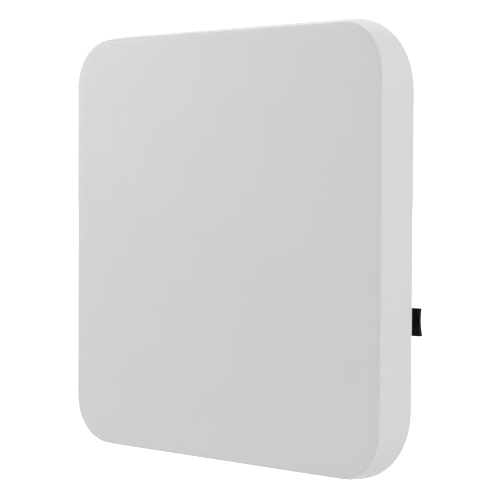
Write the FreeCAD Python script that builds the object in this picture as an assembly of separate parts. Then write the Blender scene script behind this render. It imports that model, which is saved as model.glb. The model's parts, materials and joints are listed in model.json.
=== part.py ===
import FreeCAD, Part
import math
import os

# Ceiling access point: a white moulded cover on a die-cast chassis, which hangs by four
# shoulder studs in the keyholes of a black mounting bracket.
#
# Millimetres.  The wall or ceiling plane is Y = 0, the cover's face looks along -Y, Z is up
# and X is to the right of someone who faces the cover.  The origin is the middle of the
# bracket's screw pattern, on the wall plane.

os.makedirs("parts", exist_ok=True)

V = FreeCAD.Vector
ORIGIN = V(0, 0, 0)
ALONG_X = V(1, 0, 0)
ALONG_Y = V(0, 1, 0)
ALONG_Z = V(0, 0, 1)
RUNNING_GAP = 0.4        # between pieces that move past each other
SCREW_GAP = 0.05         # radial, between a screw and the hole that it fills
PAST = 0.5               # how far a cutter or a fused shape runs past a surface
SNAP = 0.01              # vertices this close to a plane are on it

# Cover: a square dish whose side bows out from the front crease to the rim
SIDE = 200.0             # widest outline
HALF = SIDE / 2
FACE_Y = -38.0           # front crease
RIM_Y = -20.1            # back edge of the cover, its widest plane
CREASE_INSET = 2.84
CREASE_RADIUS = 21.2
RIM_RADIUS = 31.7
CREASE_FILLET = 1.6
SIDE_STEPS = 4           # spans between the outlines that the side is lofted through
CROWN = 0.7              # rise of the face from its crease to its middle
CROWN_PARTS = (1.0, 0.8, 0.55, 0.3)
COVER_WALL = 2.2
LEDGE_WIDTH = 3.0        # ledge inside the rim, which the gasket presses on
LEDGE_BITE = 0.4         # how far the ledge runs into the side wall
LEDGE_Y = (-24.0, -21.3)
GASKET_INSET = 1.2       # from the cover's side wall
GASKET_WIDTH = 2.2

# Cover screws, driven from the back through the chassis posts into the cover's bosses
COVER_SCREW = 72.0       # at +-X, +-Z
COVER_SCREW_RADIUS = 1.5
COVER_SCREW_HEAD = 3.0
COVER_SCREW_HEAD_Y = (-10.5, -8.3)
COVER_SCREW_SOCKET = (1.35, 1.3)  # radius, depth
COVER_SCREW_TIP_Y = -30.0
COVER_SCREW_HOLE_Y = -32.0
COVER_SCREW_RECESS = 3.2
COVER_BOSS = 4.0
COVER_POST = 4.6
BOSS_END_Y = RIM_Y - 0.3  # where the cover's bosses meet the chassis posts
BOSS_RELIEF = 6.0        # hole in the board and the antenna plate around each boss

# Status light and the pipe that carries it to the cover
LIGHT_Z = 62.0
LIGHT_HALF = 1.0
LIGHT_HEIGHT = 1.0
LIGHT_GAP = 0.4          # from the light to the pipe
PIPE_RADIUS = 2.0
PIPE_GAP = 0.2
PIPE_HOLE = 2.6          # in the antenna plate
WINDOW_WALL = 0.6        # skin left in front of the pipe

# Chassis: a shallow tray with a finned bevel
CHASSIS_Y = -19.5        # flange behind the cover's rim
BACK_Y = -7.0            # rear face
FLANGE_HALF = 98.6
FLANGE_RADIUS = 30.5
BACK_HALF = 84.0
BACK_RADIUS = 24.0
BACK_FILLET = 1.2
BEVEL_WALL = 4.2         # measured square to the bevel
BACK_WALL = 2.5
FLOOR_Y = BACK_Y - BACK_WALL
FLOOR_RADIUS_GAIN = 2.0  # the hollow's corners are this much rounder at its floor
FIN_PITCH = 7.0
FIN_GAP = 3.6
FIN_DEPTH = 2.0
FIN_REACH = 56.0         # last groove from the middle of a side
FIN_START = 3.0          # length of bevel left plain next to the flange
FIN_OVERRUN = 4.0        # the grooves run out past the bevel's rear edge

# Port housing: a moulded tub in the lower half of the back, with a cable notch below it
BAY_HALF = 44.0
BAY_Z = (-78.0, -46.0)
BAY_FLOOR_Y = -21.0
BAY_RADIUS = 2.0         # inner corners
BAY_WALL = 2.0
HOUSING_SINK = 0.3       # its rear edge stands this far below the chassis' back
HOUSING_EAR = 3.0        # ears that bear on the inside of the chassis
HOUSING_EAR_Z = (-74.0, -52.0)
NOTCH_HALF = 20.0
NOTCH_Y = -15.5
JACK_GAP = 0.2           # around each jack, in the housing's upper wall
PORT_FACE_Z = -46.2      # jack faces, just proud of the housing's upper wall

# Cable-lock plate in the left bevel: half length, half width and corner radius of each shape
LOCK_PLATE = (6.0, 5.0, 0.8)
LOCK_SLOT = (3.5, 1.5, 1.0)
LOCK_SEAT = (6.2, 5.2, 1.0)
LOCK_CAVITY = (4.4, 3.0, 0.8)
LOCK_PLATE_Y = (-1.6, 0.2)       # from the bevel's surface
LOCK_CAVITY_DEPTH = 8.0

# Blank label in a shallow recess
LABEL = (28.0, 12.0, 1.2)        # half length, half width, corner radius
LABEL_Z = 37.0
LABEL_SINK = 0.3
LABEL_RISE = 0.1
LABEL_GAP = 0.4

# Main board, antenna plate and the screws that hold them
BOARD_Y = (-22.6, -21.0)
BOARD_HALF = 80.0
BOARD_Z = (-43.5, 80.0)
BOARD_RADIUS = 3.0
PLATE_Y = (-26.2, -25.2)
PLATE_HALF = 80.0
PLATE_RADIUS = 6.0
PLATE_HOLE = (18.0, 16.0, 3.0)   # half length, half width, corner radius
PLATE_POINTS = ((-26.0, 72.0), (26.0, 72.0), (-76.0, 10.0), (76.0, 10.0))
BOARD_POINTS = ((-66.0, 66.0), (66.0, 66.0), (-74.0, -36.0), (74.0, -36.0))
SMALL_SCREW = 1.25
SMALL_SCREW_HEAD = (2.4, 1.6)    # radius, height
SMALL_SCREW_SOCKET = (1.0, 0.9)  # radius, depth
SMALL_SCREW_PASS = 1.5           # hole in the board, the plate and the standoffs
SMALL_SCREW_TIP_Y = -13.0
SMALL_SCREW_HOLE_Y = -12.0       # end of the hole in a post
BOARD_SCREW_ACCESS = 3.0         # hole in the plate over each board screw's head
STANDOFF = 2.8
BOARD_POST = 3.0

# Shield cans on the board, with thermal pads and the chassis' heat pedestals behind them
CAN_HEIGHT = 3.0
CAN_SKIN = 0.3
CAN_RADIUS = 1.0
PAD_THICK = 1.0
PAD_INSET = 5.0
PEDESTAL_INSET = 4.0
PEDESTAL_RADIUS = 3.0
CANS = {                 # middle x, middle z, half width, half height
    "shield_processor": (0.0, 30.0, 21.0, 20.0),
    "shield_radio_low": (-50.0, 24.0, 17.0, 20.0),
    "shield_radio_high": (50.0, 24.0, 17.0, 20.0),
}

# Network jacks: a body, and the stepped slot for a plug and its tongue
LAN_X = (-22.0, -3.0)
LAN_HALF = 8.0
LAN_TOP_Y = -9.8
LAN_END_Z = -25.2
LAN_SLOTS = (            # half width, low y, high y, far z
    (5.9, -18.9, -12.1, -33.0),
    (3.1, -12.1, -11.3, -33.0),
    (1.6, -11.3, -10.6, -36.0),
)

# Console jack: a flat shell with a thin tongue
CONSOLE_X = 13.5
CONSOLE_SHELL = (4.47, 1.63)     # half width, half height
CONSOLE_SKIN = 0.3
CONSOLE_END_Z = -38.8
CONSOLE_BACK = 1.1
CONSOLE_TONGUE = (3.35, 0.35)
CONSOLE_TONGUE_SINK = 0.6
STADIUM_FLAT = 0.05      # half of the short flat left at each round end

# Power jack: a round hole with a centre pin
POWER_X = 27.0
POWER_HALF = 4.6
POWER_TOP_Y = -10.0
POWER_END_Z = -32.2
POWER_HOLE = 2.9
POWER_DEPTH = 9.5
POWER_PIN = 1.0
POWER_PIN_SINK = 0.8

# Reset button and its switch: radius and z limits of each turned length
RESET_X = 38.0
RESET_Y = -17.0
RESET_STEM = (1.42, (-46.8, -40.6))
RESET_COLLAR = (2.2, (-43.7, -42.7))
RESET_TIP = (0.9, (-40.6, -39.4))
RESET_HOLE = 1.5
SWITCH_HALF = 3.0
SWITCH_Y = -14.5
SWITCH_Z = (-39.9, -35.0)
SWITCH_BORE = (1.2, (-40.4, -38.4))

# Plain components on the rear side of the board: places, half width, half height, depth
BLOCKS = {
    "lan_transformers": (((-22.0, -14.0), (-3.0, -14.0)), 7.5, 5.0, 5.0),
    "power_inductors": (((-66.0, -8.0), (-53.0, -8.0), (-40.0, -8.0)), 5.0, 5.0, 4.0),
    "memory_chips": (((-11.0, 60.0), (11.0, 60.0), (36.0, 60.0)), 5.5, 4.0, 1.2),
}
CAPACITOR = (3.15, 8.0)  # radius, height
CAPACITOR_PLACES = ((24.0, -18.0), (32.0, -18.0), (40.0, -18.0), (48.0, -18.0))

# Antennas, the same in each quarter of the plate
SHEET = 0.5
FOOT_HALF = 4.0          # half width of each leg and foot
LOW_ANTENNA = 56.0       # middle at +-X, +-Z
LOW_HALF = 13.0
LOW_RADIUS = 2.0
LOW_Y = -34.2
LOW_SLOT = (3.0, 4.5)    # from the patch's middle, outwards
LOW_SLOT_END = 8.0
LOW_FOOT = 3.0
HIGH_ANTENNA = (24.0, 62.0)
HIGH_HALF = 9.0
HIGH_TOP_Y = -33.6
HIGH_NOTCH = (1.0, 4.0)  # half width, depth
HIGH_FOOT = 4.0

# Coaxial leads, from each antenna's foot to a plug on the board
LEAD_RADIUS = 0.6
LEAD_BEND = 6.0
LEAD_DROP = 2.5
LEAD_LIFT = 0.1          # above the plate
LEAD_START = 0.2         # from the antenna's foot
LEAD_SLACK = 0.02        # allowed difference between a lead's volume and that of a straight one
LOW_COLUMN = 12.0        # x of the plugs of the low-band leads
HIGH_COLUMN = 4.0
PLUG_Z = 10.0
PLUG_RADIUS = 1.5

# Shoulder studs
STUD_X = 54.0
STUD_Z = (-60.0, 50.0)
STUD_SHANK = 2.0
STUD_TIP_Y = -12.0
STUD_HOLE_Y = -12.2
STUD_NECK = 2.5
STUD_HEAD = 4.5
STUD_HEAD_Y = (-3.2, -1.6)
STUD_SOCKET = (1.5, 1.0)         # radius, depth
STUD_BOSS = (4.6, 4.0)           # radius, height of the boss inside the chassis
SLIDE = 12.0             # upward travel from seated to free

# Bracket: keyholes for the studs, screw holes, two windows and stiffening ribs
BRACKET_HALF = 76.0
BRACKET_RADIUS = 18.0
WEB_Y = (-6.0, -3.5)
WALL_Y = 0.0
RIB = 2.0
KEYHOLE_NARROW = 2.8
KEYHOLE_WIDE = 5.1
WALL_SCREW = 66.0        # holes at +-X, +-Z
WALL_SCREW_RADIUS = 2.2
WALL_SCREW_SINK = (4.2, 2.0)     # radius and depth of the countersink
WALL_BOSS = 4.6
BOX_SCREW = 41.65        # slots at +-X for a gang box, 83.3 mm apart
BOX_SLOT = (4.5, 2.2, 2.19)      # half length, half width, end radius
BOX_BOSS = (7.5, 5.0, 4.9)
CABLE_WINDOW = (-30.0, 30.0, -70.0, -12.0)
UPPER_WINDOW = (-32.0, 32.0, 14.0, 60.0)
WINDOW_RADIUS = 8.0
MIDDLE_RIB = ((-1.0, 1.0), (-11.0, 13.0))
SIDE_RIBS = (            # x limits and z limits, the same in both halves
    ((50.0, 75.0), (-1.0, 1.0)),
    ((33.0, 36.0), (-58.0, -18.0)),
    ((34.0, 75.0), (28.0, 30.0)),
    ((19.0, 21.0), (61.0, 75.0)),
)

# Latch: a slider that the unit's ramp pushes inwards as the unit is lifted
LATCH_Z = -31.4
LATCH_RATIO = 0.25       # slider's travel for each millimetre of lift
LATCH_TRAVEL = SLIDE * LATCH_RATIO
SLIDER_X = (50.0, 79.5)
SLIDER_HALF = 5.0
SLIDER_Y = (-3.2, -1.2)
SLIDER_SLOT_GAP = 0.5
NOSE_X = (52.0, 57.5)    # left face, and right face at the nose's lower edge
NOSE_HALF = 4.5
NOSE_Y = -8.8
NOSE_SLOT_END = 60.4
SPIGOT = 1.2
SPIGOT_REACH = 3.0
SPIGOT_ROOT = 2.0
TAB_X = 90.0
TAB_HALF = 6.1
TAB_Y = (-3.2, -1.0)
TAB_HOLLOW = 0.4         # hollow in the middle of the tab's end, for a fingertip
TAB_FLARE = 0.5          # the end stands out this much further at its lower corner
TAB_FILLET = 0.3
POCKET_FLOOR_Y = -10.0
POCKET_GAP = 0.6         # around the nose's travel, except at the ramp
POCKET_PAD_X = (46.0, 63.0)
POCKET_PAD_Y = -12.0
POCKET_PAD_Z = (-51.0, -22.0)

# Latch spring, rails and keeper
SPRING_X = 36.0
SPRING_Y = -2.8
SPRING_RADIUS = 1.9
SPRING_WIRE = 0.25
SPRING_END_GAP = 0.05
SPRING_TURNS = 9
RAIL_X = (50.0, 75.0)
RAIL_WIDTH = 2.0
KEEPER_X = (62.0, 73.0)
KEEPER_MIDDLE_X = sum(KEEPER_X) / 2
KEEPER_Y = (-0.9, -0.2)
KEEPER_RADIUS = 2.5
KEEPER_BOSS = 2.6
KEEPER_SCREW = 1.0
KEEPER_SCREW_HEAD = 1.8
KEEPER_SCREW_HEAD_Y = -0.02
KEEPER_SCREW_TIP_Y = -5.2
KEEPER_SCREW_HOLE_Y = -5.4
KEEPER_SCREW_Z = (LATCH_Z - 9.5, LATCH_Z + 9.5)


def export(shape, node):
    """Write one sub-part, after checking that its solids are sound."""
    if not shape.isValid() or not shape.Solids:
        raise ValueError(node + " is not a valid solid")
    for solid in shape.Solids:
        if solid.Volume <= 0:
            raise ValueError(node + " has an inverted solid")
    shape.exportStep("parts/" + node + ".step")
    print(node, len(shape.Solids), round(shape.Volume / 1000, 2), "cm3")


def box(x, y, z):
    """Box between two limits along each axis."""
    return Part.makeBox(x[1] - x[0], y[1] - y[0], z[1] - z[0], V(x[0], y[0], z[0]))


def round_y(radius, y, x, z):
    """Cylinder along Y."""
    return Part.makeCylinder(radius, y[1] - y[0], V(x, y[0], z), ALONG_Y)


def round_z(radius, z, x, y):
    """Cylinder along Z."""
    return Part.makeCylinder(radius, z[1] - z[0], V(x, y, z[0]), ALONG_Z)


def through(y):
    """Y limits of a cutter that goes right through a sheet."""
    return (y[0] - PAST, y[1] + PAST)


def both_sides(limits, side):
    """Limits along X for the right half (1) or the left half (-1)."""
    return sorted((side * limits[0], side * limits[1]))


def outline(half_x, half_z, radius, y, middle=(0.0, 0.0)):
    """Rounded rectangle in the plane Y = y."""
    arcs = []
    for turn, (sign_x, sign_z) in enumerate(((1, 1), (-1, 1), (-1, -1), (1, -1))):
        centre = V(middle[0] + sign_x * (half_x - radius), y, middle[1] + sign_z * (half_z - radius))
        points = []
        for part in (0.0, 0.5, 1.0):
            angle = math.pi / 2 * (turn + part)
            points.append(centre + V(math.cos(angle), 0, math.sin(angle)) * radius)
        arcs.append(points)
    edges = []
    for index, points in enumerate(arcs):
        following = arcs[(index + 1) % len(arcs)]
        edges.append(Part.Arc(*points).toShape())
        edges.append(Part.LineSegment(points[-1], following[0]).toShape())
    return Part.Wire(edges)


def slab(half_x, half_z, radius, y, middle=(0.0, 0.0)):
    """Rounded rectangle, thick between two Y planes."""
    face = Part.Face(outline(half_x, half_z, radius, y[0], middle))
    return face.extrude(V(0, y[1] - y[0], 0))


def loft(sections, ruled=False):
    """Solid through square outlines, each given as y, half side and corner radius."""
    return Part.makeLoft([outline(half, half, radius, y) for y, half, radius in sections], True, ruled)


def corners(offset_x, offset_z=None):
    """The four points at plus and minus the given distances."""
    reach_z = offset_x if offset_z is None else offset_z
    return [(sx * offset_x, sz * reach_z) for sx in (-1, 1) for sz in (-1, 1)]


def polygon_prism(points, travel):
    """Closed polygon of vectors, pushed along a vector."""
    wire = Part.makePolygon(points + [points[0]])
    return Part.Face(wire).extrude(travel)


def edges_in_plane(shape, y):
    """Edges whose ends all lie in the plane Y = y."""
    return [edge for edge in shape.Edges if all(abs(vertex.Y - y) < SNAP for vertex in edge.Vertexes)]


# ---- cover ------------------------------------------------------------------------------

def cover_section(y, inset=0.0):
    """Cover's outline at a depth: it bows out to its widest at the rim."""
    bow = ((RIM_Y - y) / (RIM_Y - FACE_Y)) ** 2
    half = HALF - CREASE_INSET * bow - inset
    radius = RIM_RADIUS - (RIM_RADIUS - CREASE_RADIUS) * bow - inset
    return (y, half, radius)


def cover_outer():
    """Bowed sides with a slightly crowned face and a rounded crease."""
    step = (RIM_Y - FACE_Y) / SIDE_STEPS
    sides = loft([cover_section(FACE_Y + step * index) for index in range(SIDE_STEPS + 1)])
    crease_half = HALF - CREASE_INSET
    crown = loft([(FACE_Y - CROWN * (1 - part * part), crease_half * part, CREASE_RADIUS * part)
                  for part in CROWN_PARTS])
    body = sides.fuse(crown)
    return body.makeFillet(CREASE_FILLET, edges_in_plane(body, FACE_Y))


def cover_ledge(outer):
    """Ring inside the rim that the gasket presses on."""
    half = HALF - COVER_WALL
    radius = RIM_RADIUS - COVER_WALL
    ring = slab(half + LEDGE_BITE, half + LEDGE_BITE, radius + LEDGE_BITE, LEDGE_Y)
    hole = slab(half - LEDGE_WIDTH, half - LEDGE_WIDTH, radius - LEDGE_WIDTH, LEDGE_Y)
    return ring.cut(hole).common(outer)


def front_cover():
    outer = cover_outer()
    inner_y = FACE_Y + COVER_WALL
    depths = (inner_y, (inner_y + RIM_Y) / 2, RIM_Y)
    inner = loft([cover_section(y, COVER_WALL) for y in depths])
    cover = outer.cut(inner).fuse(cover_ledge(outer))
    for x, z in corners(COVER_SCREW):
        boss = round_y(COVER_BOSS, (inner_y - PAST, BOSS_END_Y), x, z)
        hole = round_y(COVER_SCREW_RADIUS + SCREW_GAP, (COVER_SCREW_HOLE_Y, RIM_Y), x, z)
        cover = cover.fuse(boss).cut(hole)
    window = round_y(PIPE_RADIUS + PIPE_GAP, (FACE_Y + WINDOW_WALL, inner_y), 0.0, LIGHT_Z)
    return cover.cut(window).removeSplitter()


def light_pipe():
    end_y = BOARD_Y[0] - LIGHT_HEIGHT - LIGHT_GAP
    return round_y(PIPE_RADIUS, (FACE_Y + WINDOW_WALL, end_y), 0.0, LIGHT_Z)


def status_light():
    y = (BOARD_Y[0] - LIGHT_HEIGHT, BOARD_Y[0])
    return box((-LIGHT_HALF, LIGHT_HALF), y, (LIGHT_Z - LIGHT_HALF, LIGHT_Z + LIGHT_HALF))


def seal_gasket():
    y = (LEDGE_Y[1], CHASSIS_Y)
    half = HALF - COVER_WALL - GASKET_INSET
    radius = RIM_RADIUS - COVER_WALL - GASKET_INSET
    inner = slab(half - GASKET_WIDTH, half - GASKET_WIDTH, radius - GASKET_WIDTH, y)
    return slab(half, half, radius, y).cut(inner)


# ---- chassis and port housing -----------------------------------------------------------

def bevel_grooves():
    """Grooves across the four bevels, which leave fins between them."""
    run = V(BACK_HALF - FLANGE_HALF, BACK_Y - CHASSIS_Y, 0)
    run.normalize()
    deep = V(-run.y, run.x, 0) * FIN_DEPTH
    start = V(FLANGE_HALF, CHASSIS_Y, 0) + run * FIN_START
    end = V(BACK_HALF, BACK_Y, 0) + run * FIN_OVERRUN
    profile = [start - deep, end - deep, end + deep, start + deep]
    grooves = []
    count = int(FIN_REACH / FIN_PITCH)
    for index in range(-count, count + 1):
        middle = index * FIN_PITCH
        shifted = [point + V(0, 0, middle - FIN_GAP / 2) for point in profile]
        groove = polygon_prism(shifted, V(0, 0, FIN_GAP))
        for side in range(4):
            beside_notch = side == 1 and abs(middle) < NOTCH_HALF + FIN_PITCH
            if not beside_notch:
                turned = groove.copy()
                turned.rotate(ORIGIN, ALONG_Y, 90 * side)
                grooves.append(turned)
    return Part.makeCompound(grooves)


def chassis_tray():
    """Bevelled tray, hollow towards the cover."""
    outer = loft([(CHASSIS_Y, FLANGE_HALF, FLANGE_RADIUS), (BACK_Y, BACK_HALF, BACK_RADIUS)], ruled=True)
    outer = outer.makeFillet(BACK_FILLET, edges_in_plane(outer, BACK_Y))
    slope = (FLANGE_HALF - BACK_HALF) / (BACK_Y - CHASSIS_Y)
    inset = BEVEL_WALL * math.hypot(1.0, slope)
    floor_half = FLANGE_HALF - slope * (FLOOR_Y - CHASSIS_Y) - inset
    hollow = loft([(CHASSIS_Y, FLANGE_HALF - inset, FLANGE_RADIUS - inset),
                   (FLOOR_Y, floor_half, BACK_RADIUS - inset + FLOOR_RADIUS_GAIN)], ruled=True)
    return outer.cut(bevel_grooves()).cut(hollow)


def chassis_posts():
    """Screw posts, stud bosses, heat pedestals and the thick pad behind the latch pocket."""
    root_y = FLOOR_Y + PAST
    boss_radius, boss_height = STUD_BOSS
    pedestal_y = (BOARD_Y[1] + CAN_HEIGHT + PAD_THICK, root_y)
    posts = [round_y(COVER_POST, (BOSS_END_Y, root_y), x, z) for x, z in corners(COVER_SCREW)]
    posts += [round_y(BOARD_POST, (BOARD_Y[1], root_y), x, z) for x, z in PLATE_POINTS + BOARD_POINTS]
    for side in (-1, 1):
        for z in STUD_Z:
            posts.append(round_y(boss_radius, (FLOOR_Y - boss_height, root_y), side * STUD_X, z))
    for x, z, half_x, half_z in CANS.values():
        posts.append(slab(half_x - PEDESTAL_INSET, half_z - PEDESTAL_INSET, PEDESTAL_RADIUS,
                          pedestal_y, (x, z)))
    posts.append(box(POCKET_PAD_X, (POCKET_PAD_Y, root_y), POCKET_PAD_Z))
    return posts


def chassis_screw_holes():
    """Holes for the cover screws, the board's and the plate's screws, and the studs."""
    mouth_y = BACK_Y + PAST
    holes = []
    for x, z in corners(COVER_SCREW):
        holes.append(round_y(COVER_SCREW_RADIUS + SCREW_GAP, (BOSS_END_Y - PAST, mouth_y), x, z))
        holes.append(round_y(COVER_SCREW_RECESS, (COVER_SCREW_HEAD_Y[0], mouth_y), x, z))
    for x, z in PLATE_POINTS + BOARD_POINTS:
        holes.append(round_y(SMALL_SCREW + SCREW_GAP, (BOARD_Y[1] - PAST, SMALL_SCREW_HOLE_Y), x, z))
    for side in (-1, 1):
        for z in STUD_Z:
            holes.append(round_y(STUD_SHANK + SCREW_GAP, (STUD_HOLE_Y, mouth_y), side * STUD_X, z))
    return holes


def latch_pocket():
    """Blind pocket whose right wall is the ramp that moves the latch's nose."""
    nose_low = LATCH_Z - NOSE_HALF
    low = nose_low - SLIDE - POCKET_GAP
    high = LATCH_Z + NOSE_HALF + POCKET_GAP
    left = NOSE_X[0] - LATCH_TRAVEL - POCKET_GAP
    mouth_y = BACK_Y + PAST

    def ramp(z):
        return V(NOSE_X[1] + RUNNING_GAP + LATCH_RATIO * (z - nose_low), mouth_y, z)

    points = [V(left, mouth_y, low), ramp(low), ramp(high), V(left, mouth_y, high)]
    return polygon_prism(points, V(0, POCKET_FLOOR_Y - mouth_y, 0))


def on_left_bevel(shape):
    """Turn a shape made about Y = 0, facing +Y, so that it faces out of the left bevel's middle."""
    slope = math.degrees(math.atan2(BACK_Y - CHASSIS_Y, FLANGE_HALF - BACK_HALF))
    turned = shape.copy()
    turned.rotate(ORIGIN, ALONG_Z, 90 - slope)
    turned.translate(V(-(FLANGE_HALF + BACK_HALF) / 2, (CHASSIS_Y + BACK_Y) / 2, 0))
    return turned


def lock_window():
    """Seat for the lock plate, cut flat across the fins, and a hole behind it."""
    seat = slab(*LOCK_SEAT, (LOCK_PLATE_Y[0], PAST))
    behind = slab(*LOCK_CAVITY, (-LOCK_CAVITY_DEPTH, 0.0))
    return on_left_bevel(seat.fuse(behind))


def lock_plate():
    """Steel plate with the 7 by 3 mm slot that a cable lock takes."""
    slot = slab(*LOCK_SLOT, through(LOCK_PLATE_Y))
    return on_left_bevel(slab(*LOCK_PLATE, LOCK_PLATE_Y).cut(slot))


def label_plate():
    return slab(*LABEL, (BACK_Y - LABEL_SINK, BACK_Y + LABEL_RISE), (0.0, LABEL_Z))


def label_recess():
    grown = [size + LABEL_GAP for size in LABEL]
    return slab(*grown, (BACK_Y - LABEL_SINK, BACK_Y + PAST), (0.0, LABEL_Z))


def housing_block(y):
    """Outer form of the port housing between two Y planes."""
    x = BAY_HALF + BAY_WALL
    return box((-x, x), y, (BAY_Z[0] - BAY_WALL, BAY_Z[1] + BAY_WALL))


def rear_chassis():
    chassis = chassis_tray().fuse(chassis_posts())
    notch = box((-NOTCH_HALF, NOTCH_HALF), (NOTCH_Y, BACK_Y + PAST), (-HALF, BAY_Z[0]))
    cuts = [housing_block((CHASSIS_Y, BACK_Y + PAST)), notch]
    cuts += [latch_pocket(), lock_window(), label_recess()]
    return chassis.cut(cuts + chassis_screw_holes()).removeSplitter()


def port_windows():
    """Openings in the housing's upper wall, one for each jack and for the reset button."""
    z = (BAY_Z[1] - PAST, BAY_Z[1] + BAY_WALL + PAST)
    jacks = [(x, LAN_HALF, LAN_TOP_Y) for x in LAN_X]
    jacks.append((CONSOLE_X, CONSOLE_SHELL[0], BOARD_Y[1] + 2 * CONSOLE_SHELL[1]))
    jacks.append((POWER_X, POWER_HALF, POWER_TOP_Y))
    windows = []
    for x, half, top_y in jacks:
        reach = half + JACK_GAP
        windows.append(box((x - reach, x + reach), (BAY_FLOOR_Y - JACK_GAP, top_y + JACK_GAP), z))
    windows.append(round_z(RESET_HOLE, z, RESET_X, RESET_Y))
    return windows


def port_housing():
    """Tub that the plugs go into: jacks look through its upper wall, cables leave by its lower one."""
    housing = housing_block((BAY_FLOOR_Y - BAY_WALL, BACK_Y - HOUSING_SINK))
    for side in (-1, 1):
        ear_x = both_sides((BAY_HALF, BAY_HALF + BAY_WALL + HOUSING_EAR), side)
        housing = housing.fuse(box(ear_x, (FLOOR_Y - BAY_WALL, FLOOR_Y), HOUSING_EAR_Z))
    bay_half = (BAY_Z[1] - BAY_Z[0]) / 2
    bay_middle = (BAY_Z[0] + BAY_Z[1]) / 2
    bay = slab(BAY_HALF, bay_half, BAY_RADIUS, (BAY_FLOOR_Y, BACK_Y + PAST), (0.0, bay_middle))
    notch_z = (BAY_Z[0] - BAY_WALL - PAST, BAY_Z[0] + PAST)
    notch = box((-NOTCH_HALF, NOTCH_HALF), (NOTCH_Y, BACK_Y + PAST), notch_z)
    return housing.cut([bay, notch] + port_windows()).removeSplitter()


def cover_screws():
    head_low, head_high = COVER_SCREW_HEAD_Y
    socket_radius, socket_depth = COVER_SCREW_SOCKET
    screws = []
    for x, z in corners(COVER_SCREW):
        head = round_y(COVER_SCREW_HEAD, COVER_SCREW_HEAD_Y, x, z)
        shank = round_y(COVER_SCREW_RADIUS, (COVER_SCREW_TIP_Y, head_low), x, z)
        socket = round_y(socket_radius, (head_high - socket_depth, head_high), x, z)
        screws.append(head.fuse(shank).cut(socket))
    return Part.makeCompound(screws)


def mounting_studs():
    """Shoulder studs: a shank in the chassis, a neck through the bracket and a flat head."""
    head_low, head_high = STUD_HEAD_Y
    socket_radius, socket_depth = STUD_SOCKET
    studs = []
    for side in (-1, 1):
        for z in STUD_Z:
            x = side * STUD_X
            shank = round_y(STUD_SHANK, (STUD_TIP_Y, BACK_Y), x, z)
            neck = round_y(STUD_NECK, (BACK_Y, head_low), x, z)
            head = round_y(STUD_HEAD, STUD_HEAD_Y, x, z)
            socket = round_y(socket_radius, (head_high - socket_depth, head_high), x, z)
            studs.append(shank.fuse([neck, head]).cut(socket))
    return Part.makeCompound(studs)


# ---- board, jacks and shields -----------------------------------------------------------

def main_board():
    half_z = (BOARD_Z[1] - BOARD_Z[0]) / 2
    middle_z = (BOARD_Z[0] + BOARD_Z[1]) / 2
    cutter_y = through(BOARD_Y)
    cuts = [round_y(BOSS_RELIEF, cutter_y, x, z) for x, z in corners(COVER_SCREW)]
    cuts += [round_y(SMALL_SCREW_PASS, cutter_y, x, z) for x, z in PLATE_POINTS + BOARD_POINTS]
    return slab(BOARD_HALF, half_z, BOARD_RADIUS, BOARD_Y, (0.0, middle_z)).cut(cuts)


def shield_can(x, z, half_x, half_z):
    y = (BOARD_Y[1], BOARD_Y[1] + CAN_HEIGHT)
    inner_y = (y[0], y[1] - CAN_SKIN)
    inner = slab(half_x - CAN_SKIN, half_z - CAN_SKIN, CAN_RADIUS - CAN_SKIN, inner_y, (x, z))
    return slab(half_x, half_z, CAN_RADIUS, y, (x, z)).cut(inner)


def thermal_pads():
    y_low = BOARD_Y[1] + CAN_HEIGHT
    pads = []
    for x, z, half_x, half_z in CANS.values():
        pads.append(slab(half_x - PAD_INSET, half_z - PAD_INSET, CAN_RADIUS, (y_low, y_low + PAD_THICK), (x, z)))
    return Part.makeCompound(pads)


def lan_jack(x):
    """Shielded 8-way jack: plug cavity with the stepped slot for the plug's tongue."""
    body = box((x - LAN_HALF, x + LAN_HALF), (BOARD_Y[1], LAN_TOP_Y), (PORT_FACE_Z, LAN_END_Z))
    mouth = PORT_FACE_Z - PAST
    slots = [box((x - half, x + half), (low, high), (mouth, end)) for half, low, high, end in LAN_SLOTS]
    return body.cut(slots)


def console_jack():
    """Reversible serial jack: a flat shell with a thin tongue."""
    half_x, half_y = CONSOLE_SHELL
    tongue_x, tongue_y = CONSOLE_TONGUE
    middle_y = BOARD_Y[1] + half_y

    def stadium(inset, z):
        radius = half_y - inset - STADIUM_FLAT
        flat = slab(half_x - inset, half_y - inset, radius, (0.0, z[1] - z[0]))
        flat.rotate(ORIGIN, ALONG_X, 90)
        flat.translate(V(CONSOLE_X, middle_y, z[0]))
        return flat

    shell = stadium(0.0, (PORT_FACE_Z, CONSOLE_END_Z))
    cavity = stadium(CONSOLE_SKIN, (PORT_FACE_Z - PAST, CONSOLE_END_Z - CONSOLE_BACK))
    tongue = box((CONSOLE_X - tongue_x, CONSOLE_X + tongue_x), (middle_y - tongue_y, middle_y + tongue_y),
                 (PORT_FACE_Z + CONSOLE_TONGUE_SINK, CONSOLE_END_Z))
    return shell.cut(cavity).fuse(tongue)


def power_jack():
    """Barrel jack: a round hole with a centre pin."""
    y = (BOARD_Y[1], POWER_TOP_Y)
    centre_y = sum(y) / 2
    end_z = PORT_FACE_Z + POWER_DEPTH
    body = box((POWER_X - POWER_HALF, POWER_X + POWER_HALF), y, (PORT_FACE_Z, POWER_END_Z))
    hole = round_z(POWER_HOLE, (PORT_FACE_Z - PAST, end_z), POWER_X, centre_y)
    pin = round_z(POWER_PIN, (PORT_FACE_Z + POWER_PIN_SINK, end_z + PAST), POWER_X, centre_y)
    return body.cut(hole).fuse(pin)


def reset_button():
    """Plunger in the housing's wall, kept in by its collar, with a tip in the switch."""
    lengths = [round_z(radius, z, RESET_X, RESET_Y) for radius, z in (RESET_STEM, RESET_COLLAR, RESET_TIP)]
    return lengths[0].fuse(lengths[1:])


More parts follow.
